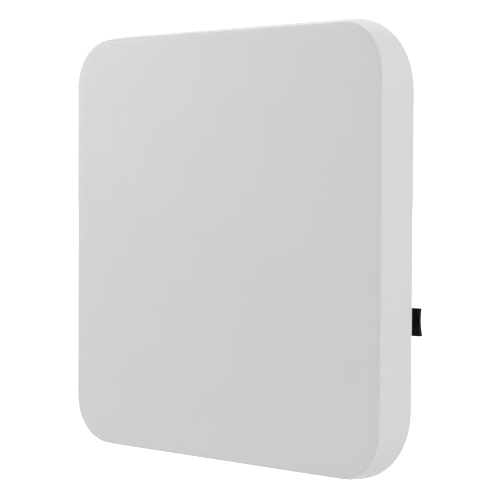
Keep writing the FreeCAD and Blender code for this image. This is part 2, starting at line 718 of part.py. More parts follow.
def reset_switch():
    bore_radius, bore_z = SWITCH_BORE
    body = box((RESET_X - SWITCH_HALF, RESET_X + SWITCH_HALF), (BOARD_Y[1], SWITCH_Y), SWITCH_Z)
    return body.cut(round_z(bore_radius, bore_z, RESET_X, RESET_Y))


def board_blocks(places, half_x, half_z, depth):
    """Group of equal blocks on the rear side of the board."""
    y = (BOARD_Y[1], BOARD_Y[1] + depth)
    return Part.makeCompound([box((x - half_x, x + half_x), y, (z - half_z, z + half_z)) for x, z in places])


def capacitors():
    radius, height = CAPACITOR
    y = (BOARD_Y[1], BOARD_Y[1] + height)
    return Part.makeCompound([round_y(radius, y, x, z) for x, z in CAPACITOR_PLACES])


def plate_standoffs():
    """Spacers that carry the antenna plate on the board."""
    y = (PLATE_Y[1], BOARD_Y[0])
    rings = []
    for x, z in PLATE_POINTS:
        rings.append(round_y(STANDOFF, y, x, z).cut(round_y(SMALL_SCREW_PASS, y, x, z)))
    return Part.makeCompound(rings)


def front_screws(places, seat_y):
    """Screws driven from the front, through what they hold, into the chassis posts."""
    head_radius, head_height = SMALL_SCREW_HEAD
    socket_radius, socket_depth = SMALL_SCREW_SOCKET
    top_y = seat_y - head_height
    screws = []
    for x, z in places:
        head = round_y(head_radius, (top_y, seat_y), x, z)
        shank = round_y(SMALL_SCREW, (seat_y, SMALL_SCREW_TIP_Y), x, z)
        socket = round_y(socket_radius, (top_y, top_y + socket_depth), x, z)
        screws.append(head.fuse(shank).cut(socket))
    return Part.makeCompound(screws)


# ---- antennas ---------------------------------------------------------------------------

def antenna_plate():
    cutter_y = through(PLATE_Y)
    cuts = [round_y(BOSS_RELIEF, cutter_y, x, z) for x, z in corners(COVER_SCREW)]
    cuts += [round_y(SMALL_SCREW_PASS, cutter_y, x, z) for x, z in PLATE_POINTS]
    cuts += [round_y(BOARD_SCREW_ACCESS, cutter_y, x, z) for x, z in BOARD_POINTS]
    cuts.append(round_y(PIPE_HOLE, cutter_y, 0.0, LIGHT_Z))
    cuts.append(slab(*PLATE_HOLE, cutter_y))
    return slab(PLATE_HALF, PLATE_HALF, PLATE_RADIUS, PLATE_Y).cut(cuts)


def low_antenna(sign_x, sign_z):
    """Raised square patch on one leg, with a foot on the plate."""
    x = sign_x * LOW_ANTENNA
    z = sign_z * LOW_ANTENNA
    patch_y = (LOW_Y, LOW_Y + SHEET)
    slot_x = sorted(x + sign_x * reach for reach in LOW_SLOT)
    slot_z = sorted((z - sign_z * LOW_SLOT_END, z + sign_z * LOW_HALF))
    patch = slab(LOW_HALF, LOW_HALF, LOW_RADIUS, patch_y, (x, z)).cut(box(slot_x, patch_y, slot_z))
    edge = x - sign_x * LOW_HALF
    outside = edge + sign_x * SHEET
    foot_z = (z - FOOT_HALF, z + FOOT_HALF)
    leg = box(sorted((edge, outside)), (LOW_Y, PLATE_Y[0]), foot_z)
    foot = box(sorted((edge - sign_x * LOW_FOOT, outside)), (PLATE_Y[0] - SHEET, PLATE_Y[0]), foot_z)
    return patch.fuse([leg, foot])


def high_antenna(sign_x, sign_z):
    """Upright blade with a notch, on a foot on the plate."""
    x = sign_x * HIGH_ANTENNA[0]
    z = sign_z * HIGH_ANTENNA[1]
    notch_half, notch_depth = HIGH_NOTCH
    blade = box((x - HIGH_HALF, x + HIGH_HALF), (HIGH_TOP_Y, PLATE_Y[0]), (z - SHEET / 2, z + SHEET / 2))
    notch = box((x - notch_half, x + notch_half), (HIGH_TOP_Y, HIGH_TOP_Y + notch_depth),
                (z - SHEET, z + SHEET))
    foot_z = sorted((z + sign_z * SHEET / 2, z - sign_z * HIGH_FOOT))
    foot = box((x - FOOT_HALF, x + FOOT_HALF), (PLATE_Y[0] - SHEET, PLATE_Y[0]), foot_z)
    return blade.cut(notch).fuse(foot)


def antenna_lead(start, column, end_z):
    """Coaxial lead on the plate: along X, round a bend, along Z, then down to its plug."""
    y = PLATE_Y[0] - LEAD_RADIUS - LEAD_LIFT
    side = 1 if start[0] > column else -1
    along = 1 if start[1] > end_z else -1
    turn = LEAD_BEND * (1 - math.sqrt(0.5))
    drop = LEAD_DROP * (1 - math.sqrt(0.5))
    corner = V(column, y, start[1])
    first = corner + V(side * LEAD_BEND, 0, 0)
    second = corner + V(0, 0, -along * LEAD_BEND)
    middle = corner + V(side * turn, 0, -along * turn)
    over = V(column, y, end_z + along * LEAD_DROP)
    down = V(column, y + LEAD_DROP, end_z)
    drop_middle = V(column, y + drop, end_z + along * drop)
    path = Part.Wire([
        Part.LineSegment(V(start[0], y, start[1]), first).toShape(),
        Part.Arc(first, middle, second).toShape(),
        Part.LineSegment(second, over).toShape(),
        Part.Arc(over, drop_middle, down).toShape(),
    ])
    circle = Part.Circle(V(start[0], y, start[1]), ALONG_X, LEAD_RADIUS)
    lead = path.makePipeShell([Part.Wire([circle.toShape()])], True, False)
    expected = math.pi * LEAD_RADIUS ** 2 * path.Length
    if abs(lead.Volume - expected) > LEAD_SLACK * expected:
        raise ValueError("a lead's volume is wrong")
    return lead


def lead_plugs():
    """Snap-on coaxial plugs, one under the end of each lead."""
    top = PLATE_Y[0] - LEAD_RADIUS - LEAD_LIFT + LEAD_DROP
    places = corners(LOW_COLUMN, PLUG_Z) + corners(HIGH_COLUMN, PLUG_Z)
    return Part.makeCompound([round_y(PLUG_RADIUS, (top, BOARD_Y[0]), x, z) for x, z in places])


# ---- bracket and latch ------------------------------------------------------------------

def window_slab(limits, grow, y):
    """Rounded rectangle from its X and Z limits, grown on every side."""
    x_low, x_high, z_low, z_high = limits
    half_x = (x_high - x_low) / 2 + grow
    half_z = (z_high - z_low) / 2 + grow
    return slab(half_x, half_z, WINDOW_RADIUS + grow, y, ((x_low + x_high) / 2, (z_low + z_high) / 2))


def keyhole(x, z, grow, y):
    """Keyhole that is narrow at the seated stud and wide one travel above it."""
    narrow = KEYHOLE_NARROW + grow
    wide = round_y(KEYHOLE_WIDE + grow, y, x, z + SLIDE)
    seat = round_y(narrow, y, x, z)
    slot = box((x - narrow, x + narrow), y, (z, z + SLIDE))
    return wide.fuse([seat, slot])


def bracket_ribs():
    """Rim, window frames, screw bosses and stiffening ribs, out to the wall, and the slider's rails."""
    y = (WEB_Y[0], WALL_Y)
    inner = BRACKET_HALF - RIB
    rim = slab(BRACKET_HALF, BRACKET_HALF, BRACKET_RADIUS, y)
    ribs = [rim.cut(slab(inner, inner, BRACKET_RADIUS - RIB, y))]
    ribs.append(box(MIDDLE_RIB[0], y, MIDDLE_RIB[1]))
    for window in (CABLE_WINDOW, UPPER_WINDOW):
        ribs.append(window_slab(window, RIB, y).cut(window_slab(window, 0.0, y)))
    ribs += [round_y(WALL_BOSS, y, x, z) for x, z in corners(WALL_SCREW)]
    for side in (-1, 1):
        ribs.append(slab(*BOX_BOSS, y, (side * BOX_SCREW, 0.0)))
        ribs += [box(both_sides(x, side), y, z) for x, z in SIDE_RIBS]
    rail_y = (WEB_Y[0], KEEPER_Y[0])
    rail_start = SLIDER_HALF + RUNNING_GAP
    for side in (-1, 1):
        rail_z = sorted((LATCH_Z + side * rail_start, LATCH_Z + side * (rail_start + RAIL_WIDTH)))
        ribs.append(box(RAIL_X, rail_y, rail_z))
    ribs += [round_y(KEEPER_BOSS, rail_y, KEEPER_MIDDLE_X, z) for z in KEEPER_SCREW_Z]
    return ribs


def bracket_holes():
    """Windows, keyholes, wall-screw holes, gang-box slots and the latch's openings."""
    whole = through((WEB_Y[0], WALL_Y))
    behind_web = (WEB_Y[1], WALL_Y + PAST)
    sink_radius, sink_depth = WALL_SCREW_SINK
    holes = [window_slab(window, 0.0, whole) for window in (CABLE_WINDOW, UPPER_WINDOW)]
    for side in (-1, 1):
        for z in STUD_Z:
            holes.append(keyhole(side * STUD_X, z, 0.0, whole))
            holes.append(keyhole(side * STUD_X, z, STUD_HEAD - STUD_NECK, behind_web))
        holes.append(slab(*BOX_SLOT, whole, (side * BOX_SCREW, 0.0)))
    for x, z in corners(WALL_SCREW):
        holes.append(round_y(WALL_SCREW_RADIUS, whole, x, z))
        holes.append(Part.makeCone(sink_radius, WALL_SCREW_RADIUS, sink_depth, V(x, WEB_Y[0], z), ALONG_Y))
    slot_half = SLIDER_HALF + SLIDER_SLOT_GAP
    slot_z = (LATCH_Z - slot_half, LATCH_Z + slot_half)
    holes.append(box((SPRING_X, NOSE_SLOT_END), whole, slot_z))
    holes.append(box(through((BRACKET_HALF - RIB, BRACKET_HALF)), behind_web, slot_z))
    screw_y = (KEEPER_SCREW_HOLE_Y, KEEPER_Y[0])
    holes += [round_y(KEEPER_SCREW + SCREW_GAP, screw_y, KEEPER_MIDDLE_X, z) for z in KEEPER_SCREW_Z]
    return holes


def mounting_bracket():
    web = slab(BRACKET_HALF, BRACKET_HALF, BRACKET_RADIUS, WEB_Y)
    return web.fuse(bracket_ribs()).cut(bracket_holes()).removeSplitter()


def latch_tab():
    """Flat finger tab with a hollowed end, which flares at its lower corner."""
    y, back_y = TAB_Y
    low = LATCH_Z - TAB_HALF
    high = LATCH_Z + TAB_HALF
    upper = V(TAB_X, y, high)
    hollow = V(TAB_X - TAB_HOLLOW, y, LATCH_Z)
    lower = V(TAB_X + TAB_FLARE, y, low)
    root_low = V(SLIDER_X[1], y, low)
    root_high = V(SLIDER_X[1], y, high)
    edges = [
        Part.Arc(upper, hollow, lower).toShape(),
        Part.LineSegment(lower, root_low).toShape(),
        Part.LineSegment(root_low, root_high).toShape(),
        Part.LineSegment(root_high, upper).toShape(),
    ]
    tab = Part.Face(Part.Wire(edges)).extrude(V(0, back_y - y, 0))
    end_edges = [edge for edge in tab.Edges if all(vertex.X > TAB_X - SNAP for vertex in edge.Vertexes)]
    return tab.makeFillet(TAB_FILLET, end_edges)


def latch_slider():
    """Slider with the ramped nose at its inner end and the finger tab outside the bracket."""
    bar = box(SLIDER_X, SLIDER_Y, (LATCH_Z - SLIDER_HALF, LATCH_Z + SLIDER_HALF))
    nose_low = LATCH_Z - NOSE_HALF
    nose_high = LATCH_Z + NOSE_HALF
    reach = LATCH_RATIO * 2 * NOSE_HALF
    base_y = SLIDER_Y[1]
    points = [V(NOSE_X[0], base_y, nose_low), V(NOSE_X[1], base_y, nose_low),
              V(NOSE_X[1] + reach, base_y, nose_high), V(NOSE_X[0], base_y, nose_high)]
    nose = polygon_prism(points, V(0, NOSE_Y - base_y, 0))
    spigot_start = V(SLIDER_X[0] - SPIGOT_REACH, SPRING_Y, LATCH_Z)
    spigot = Part.makeCylinder(SPIGOT, SPIGOT_REACH + SPIGOT_ROOT, spigot_start, ALONG_X)
    return bar.fuse([nose, spigot, latch_tab()]).removeSplitter()


def latch_spring():
    """Compression spring between the bracket's rib and the slider."""
    gap = SPRING_WIRE + SPRING_END_GAP
    length = SLIDER_X[0] - SPRING_X - 2 * gap
    helix = Part.makeHelix(length / SPRING_TURNS, length, SPRING_RADIUS)
    circle = Part.Circle(V(SPRING_RADIUS, 0, 0), ALONG_Y, SPRING_WIRE)
    coil = Part.Wire(helix).makePipeShell([Part.Wire([circle.toShape()])], True, True)
    coil.rotate(ORIGIN, ALONG_Y, 90)
    coil.translate(V(SPRING_X + gap, SPRING_Y, LATCH_Z))
    return coil


def latch_keeper():
    """Steel strap that holds the slider against the web."""
    half_x = (KEEPER_X[1] - KEEPER_X[0]) / 2
    half_z = (KEEPER_SCREW_Z[1] - KEEPER_SCREW_Z[0]) / 2 + KEEPER_BOSS
    strap = slab(half_x, half_z, KEEPER_RADIUS, KEEPER_Y, (KEEPER_MIDDLE_X, LATCH_Z))
    cutter_y = through(KEEPER_Y)
    return strap.cut([round_y(KEEPER_SCREW + SCREW_GAP, cutter_y, KEEPER_MIDDLE_X, z) for z in KEEPER_SCREW_Z])


def keeper_screws():
    screws = []
    for z in KEEPER_SCREW_Z:
        shank = round_y(KEEPER_SCREW, (KEEPER_SCREW_TIP_Y, KEEPER_Y[1]), KEEPER_MIDDLE_X, z)
        head = round_y(KEEPER_SCREW_HEAD, (KEEPER_Y[1], KEEPER_SCREW_HEAD_Y), KEEPER_MIDDLE_X, z)
        screws.append(shank.fuse(head))
    return Part.makeCompound(screws)


# ---- all sub-parts ----------------------------------------------------------------------

export(front_cover(), "front_cover")
export(light_pipe(), "light_pipe")
export(status_light(), "status_light")
export(seal_gasket(), "seal_gasket")
export(rear_chassis(), "rear_chassis")
export(port_housing(), "port_housing")
export(lock_plate(), "lock_plate")
export(label_plate(), "label_plate")
export(cover_screws(), "cover_screws")
export(mounting_studs(), "mounting_studs")

export(main_board(), "main_board")
for name, placing in CANS.items():
    export(shield_can(*placing), name)
export(thermal_pads(), "thermal_pads")
for number, jack_x in enumerate(LAN_X, 1):
    export(lan_jack(jack_x), "lan_jack_" + str(number))
export(console_jack(), "console_jack")
export(power_jack(), "power_jack")
export(reset_button(), "reset_button")
export(reset_switch(), "reset_switch")
for name, blocks in BLOCKS.items():
    export(board_blocks(*blocks), name)
export(capacitors(), "capacitors")
export(plate_standoffs(), "plate_standoffs")
export(front_screws(PLATE_POINTS, PLATE_Y[0]), "plate_screws")
export(front_screws(BOARD_POINTS, BOARD_Y[0]), "board_screws")

export(antenna_plate(), "antenna_plate")
LOW_LEAD = (LOW_ANTENNA - LOW_HALF - LOW_FOOT - LEAD_START, LOW_ANTENNA)
HIGH_LEAD = (HIGH_ANTENNA[0] - FOOT_HALF - LEAD_START, HIGH_ANTENNA[1] - HIGH_FOOT / 2)
for number, (sign_x, sign_z) in enumerate(corners(1), 1):
    end_z = sign_z * PLUG_Z
    low_lead = antenna_lead((sign_x * LOW_LEAD[0], sign_z * LOW_LEAD[1]), sign_x * LOW_COLUMN, end_z)
    high_lead = antenna_lead((sign_x * HIGH_LEAD[0], sign_z * HIGH_LEAD[1]), sign_x * HIGH_COLUMN, end_z)
    export(low_antenna(sign_x, sign_z), "antenna_low_" + str(number))
    export(high_antenna(sign_x, sign_z), "antenna_high_" + str(number))
    export(low_lead, "lead_low_" + str(number))
    export(high_lead, "lead_high_" + str(number))
export(lead_plugs(), "lead_plugs")

export(mounting_bracket(), "mounting_bracket")
export(latch_slider(), "latch_slider")
export(latch_spring(), "latch_spring")
export(latch_keeper(), "latch_keeper")
export(keeper_screws(), "keeper_screws")
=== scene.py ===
import json
import math

import bmesh
import bpy
from mathutils import Matrix, Vector

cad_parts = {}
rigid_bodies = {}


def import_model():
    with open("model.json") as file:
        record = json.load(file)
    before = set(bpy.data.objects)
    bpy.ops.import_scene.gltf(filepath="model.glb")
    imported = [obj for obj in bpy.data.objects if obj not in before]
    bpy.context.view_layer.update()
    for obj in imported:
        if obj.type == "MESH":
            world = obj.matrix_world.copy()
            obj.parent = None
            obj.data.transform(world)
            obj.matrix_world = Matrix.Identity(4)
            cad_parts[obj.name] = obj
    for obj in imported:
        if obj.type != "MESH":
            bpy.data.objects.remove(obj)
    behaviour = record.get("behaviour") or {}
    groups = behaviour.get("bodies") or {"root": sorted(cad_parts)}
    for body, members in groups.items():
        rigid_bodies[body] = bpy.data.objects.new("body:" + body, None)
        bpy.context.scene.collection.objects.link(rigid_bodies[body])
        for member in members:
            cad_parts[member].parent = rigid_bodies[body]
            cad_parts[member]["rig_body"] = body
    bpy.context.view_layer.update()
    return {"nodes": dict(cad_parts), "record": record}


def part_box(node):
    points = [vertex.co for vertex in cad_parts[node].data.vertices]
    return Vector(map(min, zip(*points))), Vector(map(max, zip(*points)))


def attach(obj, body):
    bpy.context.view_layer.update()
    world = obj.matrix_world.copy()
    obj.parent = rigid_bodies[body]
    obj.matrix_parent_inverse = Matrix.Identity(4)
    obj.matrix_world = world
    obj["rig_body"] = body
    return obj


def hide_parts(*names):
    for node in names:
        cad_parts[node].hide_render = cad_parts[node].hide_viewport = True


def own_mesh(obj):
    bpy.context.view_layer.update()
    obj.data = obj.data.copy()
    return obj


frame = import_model()

MM = 0.001
ALONG_X = Vector((1.0, 0.0, 0.0))
ALONG_Y = Vector((0.0, 1.0, 0.0))
ALONG_Z = Vector((0.0, 0.0, 1.0))
QUADRANTS = ((1, 1), (-1, 1), (-1, -1), (1, -1))
WHITE = (1.0, 1.0, 1.0, 1.0)
SLOTS = {row["node"]: row["material_slot"] for row in frame["record"]["subparts"]}

# ---- sizes of the cover ------------------------------------------------------------------

cover_low, cover_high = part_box("front_cover")
HALF = cover_high.x                      # half of the cover's widest outline
RIM_Y = cover_high.y                     # back edge of the cover
CROWN = 0.64 * MM                        # rise of the face from its crease to its middle
FACE_Y = cover_low.y + CROWN             # front crease

# the cover's form, the same as in the CAD part
CREASE_INSET = 2.84 * MM
CREASE_RADIUS = 21.2 * MM
RIM_RADIUS = 31.7 * MM
CREASE_FILLET = 1.6 * MM
RIM_FILLET = 0.35 * MM
COVER_WALL = 2.2 * MM

# into how many steps its stretches are divided
CREASE_STEPS = 8
SIDE_STEPS = 16
INSIDE_STEPS = 6
FACE_STEPS = 22
MIDDLE_RING = 0.6                        # steps from the face's last ring to its middle

# ---- sizes of the small parts, where they are finer here than in the CAD part ------------

EDGE_STEPS = 3                           # in a rounded edge
WELD = 0.0001 * MM                       # made points closer than this are one point
CUSHION_CORNER = 1.5                     # a soft box's corner radius, for each unit of its edges' radius

SOCKET_LOBES = 6
LOBE_DEPTH = 0.28                        # of the socket's radius, as are its edge and its floor's radius
SOCKET_EDGE = 0.06
SOCKET_FLOOR = 0.3
SOCKET_POINT = 1.15                      # depth of its floor, of its walls' depth

STUD_HEAD = 4.5 * MM
STUD_HEAD_THICK = 1.6 * MM
STUD_NECK = 2.5 * MM
STUD_NECK_BREAK = 0.1 * MM
STUD_SHANK = 2.0 * MM
STUD_TIP = (0.6, 0.4)                    # tip's radius and length, of the shank's radius
STUD_EDGE = 0.3 * MM
STUD_SOCKET = (1.75 * MM, 1.8 * MM)      # radius and depth

SCREW_TIP = (0.4, 1.0)
COVER_SCREW_HEAD = 3.0 * MM
COVER_SCREW_HEAD_THICK = 2.2 * MM
COVER_SCREW_SHANK = 1.5 * MM
COVER_SCREW_EDGE = 0.35 * MM
COVER_SCREW_SOCKET = (1.6 * MM, 1.7 * MM)
KEEPER_SCREW_HEAD = 1.8 * MM
KEEPER_SCREW_SHANK = 1.0 * MM
KEEPER_SCREW_EDGE = 0.07 * MM
KEEPER_SCREW_SOCKET = (0.85 * MM, 0.7 * MM)

SPRING_TURNS = 9
SPRING_TURN_STEPS = 36
SPRING_WIRE = 0.25 * MM
SPRING_WIRE_SIDES = 10
END_COIL_EASE = 0.75                     # how much closer than the middle ones the end coils lie

RESET_STEM = 1.42 * MM
RESET_COLLAR = 2.2 * MM
RESET_TIP = 0.9 * MM
RESET_DOME = 0.5 * MM
RESET_DOME_STEPS = 5
RESET_COLLAR_RISE = (3.1 * MM, 4.1 * MM)  # from the dome's top
RESET_STEM_RISE = 6.2 * MM
RESET_STEM_EDGE = 0.1 * MM
RESET_EDGE = 0.15 * MM

# network jack: the plug's cavity, its step and its tongue slot
JACK_CAVITY_HALF = 5.9 * MM
JACK_STEP_HALF = 3.1 * MM
JACK_TONGUE_HALF = 1.6 * MM
JACK_CAVITY_RISE = (2.1 * MM, 8.9 * MM)  # from the jack's lowest Y
JACK_STEP_RISE = 9.7 * MM
JACK_TONGUE_RISE = 10.4 * MM
JACK_TONGUE_DEPTH = 10.0 * MM
JACK_CAVITY_DEPTH = 13.0 * MM
LINER_WALL = 0.3 * MM
LINER_SINK = 0.15 * MM
LINER_GAP = 0.03 * MM
CONTACT_PITCH = 1.02 * MM
CONTACT_COUNT = 8
CONTACT_HALF_WIDTH = 0.23 * MM
CONTACT_HALF_THICK = 0.12 * MM
CONTACT_LIFT = 0.2 * MM                  # above the liner's floor
CONTACT_ROUTE = (                        # rise and depth in mm, from the foot round to the free end
    (0.15, 9.2), (0.15, 2.6), (0.25, 2.15), (0.5, 1.95), (0.8, 2.05), (1.0, 2.4), (3.4, 9.6),
)
LENS_SIDE = (4.0 * MM, 7.0 * MM)         # from the jack's middle
LENS_DROP = (1.8 * MM, 0.5 * MM)         # from its top
LENS_PROUD = 0.12 * MM
LENS_SINK = 0.4 * MM
LENS_EDGE = 0.12 * MM

CONSOLE_CONTACTS = 12                    # in each of its two rows
CONSOLE_ROW = 0.36 * MM                  # from the jack's middle
CONSOLE_PITCH = 0.5 * MM
CONSOLE_HALF_WIDTH = 0.13 * MM
CONSOLE_HALF_THICK = 0.05 * MM
CONSOLE_DEPTH = (0.9 * MM, 5.6 * MM)     # from the jack's face
CONSOLE_EDGE = 0.03 * MM
POWER_PIN = 1.04 * MM
POWER_PIN_NOSE = ((0.5, 0.7 * MM), (0.9, 0.85 * MM), (1.0, 1.1 * MM))  # share of its radius, and depth
POWER_PIN_DEPTH = 9.3 * MM
POWER_SLEEVE = (2.7 * MM, 2.87 * MM)     # inner and outer radius
POWER_SLEEVE_DEPTH = (1.0 * MM, 9.2 * MM)

# edges that are rounded on copies of CAD nodes
EDGE_WIDTH = 0.25 * MM
FINE_EDGE_WIDTH = 0.12 * MM
LABEL_EDGE_WIDTH = 0.08 * MM
EDGE_SEGMENTS = 2
EDGE_ANGLE = math.radians(28)            # edges that bend more are rounded
FLAT_ANGLE = math.radians(1.0)           # faces that bend less are joined
CAD_WELD = 0.002 * MM

# ---- mesh helpers ------------------------------------------------------------------------


def add_object(name, data, body, slot_name):
    """Link a piece, give it its slot's material and let it ride on its body."""
    piece = bpy.data.objects.new(name, data)
    bpy.context.scene.collection.objects.link(piece)
    data.materials.clear()
    data.materials.append(MATERIALS[slot_name])
    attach(piece, body)
    return piece


def stand_for(node, data):
    """Put a mesh in the place of a CAD node, with that node's body and finish."""
    piece = add_object(node + "_piece", data, frame["nodes"][node]["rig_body"], SLOTS[node])
    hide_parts(node)
    return piece


def add_detail(name, shells, slot_name, crease, hollow=False):
    """Piece of the unit that the CAD part doesn't have."""
    add_object(name, skin(name, shells, crease, hollow), "unit", slot_name)


def smooth(data):
    data.polygons.foreach_set("use_smooth", [True] * len(data.polygons))
    data.update()


def skin(name, shells, crease=None, hollow=False):
    """Mesh of closed shells, each through rings of equal length; crease is the angle that stays sharp.

    A hollow shell's last ring joins its first, and otherwise both of them are filled.
    """
    mesh = bmesh.new()
    for rings in shells:
        rows = [[mesh.verts.new(point) for point in ring] for ring in rings]
        following = rows[1:] + rows[:1] if hollow else rows[1:]
        for row, after in zip(rows, following):
            count = len(row)
            for i in range(count):
                j = (i + 1) % count
                mesh.faces.new((row[i], row[j], after[j], after[i]))
        if not hollow:
            mesh.faces.new(rows[0][::-1])
            mesh.faces.new(rows[-1])
    bmesh.ops.remove_doubles(mesh, verts=mesh.verts, dist=WELD)
    bmesh.ops.recalc_face_normals(mesh, faces=mesh.faces)
    data = bpy.data.meshes.new(name)
    mesh.to_mesh(data)
    mesh.free()
    smooth(data)
    if crease:
        data.set_sharp_from_angle(angle=math.radians(crease))
    return data


def quarter(steps):
    """Angles from 0 to a right angle."""
    return [math.pi / 2 * step / steps for step in range(steps + 1)]


def rounded_square(half, radius, side_steps=20, arc_steps=16):
    """Points of a square outline with round corners, as pairs of x and z."""
    points = []
    reach = half - radius
    for turn, (sign_x, sign_z) in enumerate(QUADRANTS):
        for step in range(arc_steps + 1):
            angle = math.pi / 2 * (turn + step / arc_steps)
            x = sign_x * reach + radius * math.cos(angle)
            z = sign_z * reach + radius * math.sin(angle)
            points.append((x, z))
        corner = points[-1]
        angle = math.pi / 2 * (turn + 1)
        next_x, next_z = QUADRANTS[(turn + 1) % len(QUADRANTS)]
        goal = (next_x * reach + radius * math.cos(angle), next_z * reach + radius * math.sin(angle))
        for step in range(1, side_steps):
            share = step / side_steps
            points.append(tuple(a + (b - a) * share for a, b in zip(corner, goal)))
    return points


def round_ring(centre, radius, across, upward, lobes=0, count=48):
    """Circle in the plane of two directions; with lobes, it waves in to make a star-shaped socket."""
    points = []
    for step in range(count):
        angle = 2 * math.pi * step / count
        wave = LOBE_DEPTH * (1 - math.cos(lobes * angle)) / 2
        reach = radius * (1 - wave)
        points.append(centre + across * (reach * math.cos(angle)) + upward * (reach * math.sin(angle)))
    return points


def turned_shell(place, axis, rows):
    """Rings of a turned part about an axis; each row is a radius, a distance along it and its lobes."""
    upward = ALONG_X.cross(axis)
    return [round_ring(place + axis * reach, radius, ALONG_X, upward, lobes) for radius, reach, lobes in rows]


def rounded_foot(radius, low, soft):
    """Rows of a disc's lower edge, rounded by the amount soft."""
    return [(radius - soft * (1 - math.sin(angle)), low + soft * (1 - math.cos(angle)), 0)
            for angle in quarter(EDGE_STEPS)]


def rounded_top(radius, high, soft):
    """Rows of a disc's upper edge, rounded by the amount soft."""
    return [(radius - soft * (1 - math.cos(angle)), high - soft * (1 - math.sin(angle)), 0)
            for angle in quarter(EDGE_STEPS)]


def socket_rows(radius, depth, top):
    """Rows of a star-shaped driver socket with a broken edge and a conical floor."""
    edge = radius * SOCKET_EDGE
    return [
        (radius + edge, top, SOCKET_LOBES),
        (radius, top - edge, SOCKET_LOBES),
        (radius, top - depth, SOCKET_LOBES),
        (radius * SOCKET_FLOOR, top - depth * SOCKET_POINT, SOCKET_LOBES),
    ]


def shank_rows(radius, tip, low, high):
    """Rows of a shank; its tip's radius and length are shares of its own radius."""
    tip_radius, tip_length = tip
    return [(radius * tip_radius, low, 0), (radius, low + radius * tip_length, 0), (radius, high, 0)]


def ribbon_shell(points, half_width, half_thick):
    """Rings of a flat strip that is half_width wide each way along X and follows points across it."""
    side = ALONG_X * half_width
    rings = []
    for index, point in enumerate(points):
        before = points[max(index - 1, 0)]
        after = points[min(index + 1, len(points) - 1)]
        normal = (after - before).normalized().cross(ALONG_X) * half_thick
        lower = point - normal
        upper = point + normal
        rings.append([lower - side, lower + side, upper + side, upper - side])
    return rings


def cushion_box(low, high, soft):
    """Rings of a box along Z with round corners, whose end faces' edges are rounded by the amount soft."""
    rings = []
    corner = CUSHION_CORNER * soft
    reach_x = (high.x - low.x) / 2 - corner
    reach_y = (high.y - low.y) / 2 - corner
    middle = (low + high) / 2
    for end_z, inward in ((low.z, 1), (high.z, -1)):
        for angle in quarter(EDGE_STEPS)[::inward]:
            radius = corner - soft * (1 - math.sin(angle))
            z = end_z + inward * soft * (1 - math.cos(angle))
            ring = []
            for turn, (sign_x, sign_y) in enumerate(QUADRANTS):
                for step in range(EDGE_STEPS + 1):
                    around = math.pi / 2 * (turn + step / EDGE_STEPS)
                    x = middle.x + sign_x * reach_x + radius * math.cos(around)
                    y = middle.y + sign_y * reach_y + radius * math.sin(around)
                    ring.append(Vector((x, y, z)))
            rings.append(ring)
    return rings


def refined(node, width=EDGE_WIDTH):
    """Copy of a CAD node with its flat faces joined and its edges rounded, in the node's place."""
    data = frame["nodes"][node].data.copy()
    mesh = bmesh.new()
    mesh.from_mesh(data)
    bmesh.ops.remove_doubles(mesh, verts=mesh.verts, dist=CAD_WELD)
    bmesh.ops.dissolve_limit(mesh, angle_limit=FLAT_ANGLE, verts=mesh.verts, edges=mesh.edges)
    mesh.to_mesh(data)
    mesh.free()
    smooth(data)
    piece = stand_for(node, data)
    bevel = piece.modifiers.new("edges", "BEVEL")
    bevel.width = width
    bevel.segments = EDGE_SEGMENTS
    bevel.limit_method = "ANGLE"
    bevel.angle_limit = EDGE_ANGLE
    bevel.harden_normals = True
    bevel.use_clamp_overlap = True
    weld = piece.modifiers.new("weld", "WELD")
    weld.merge_threshold = WELD


# ---- materials ---------------------------------------------------------------------------


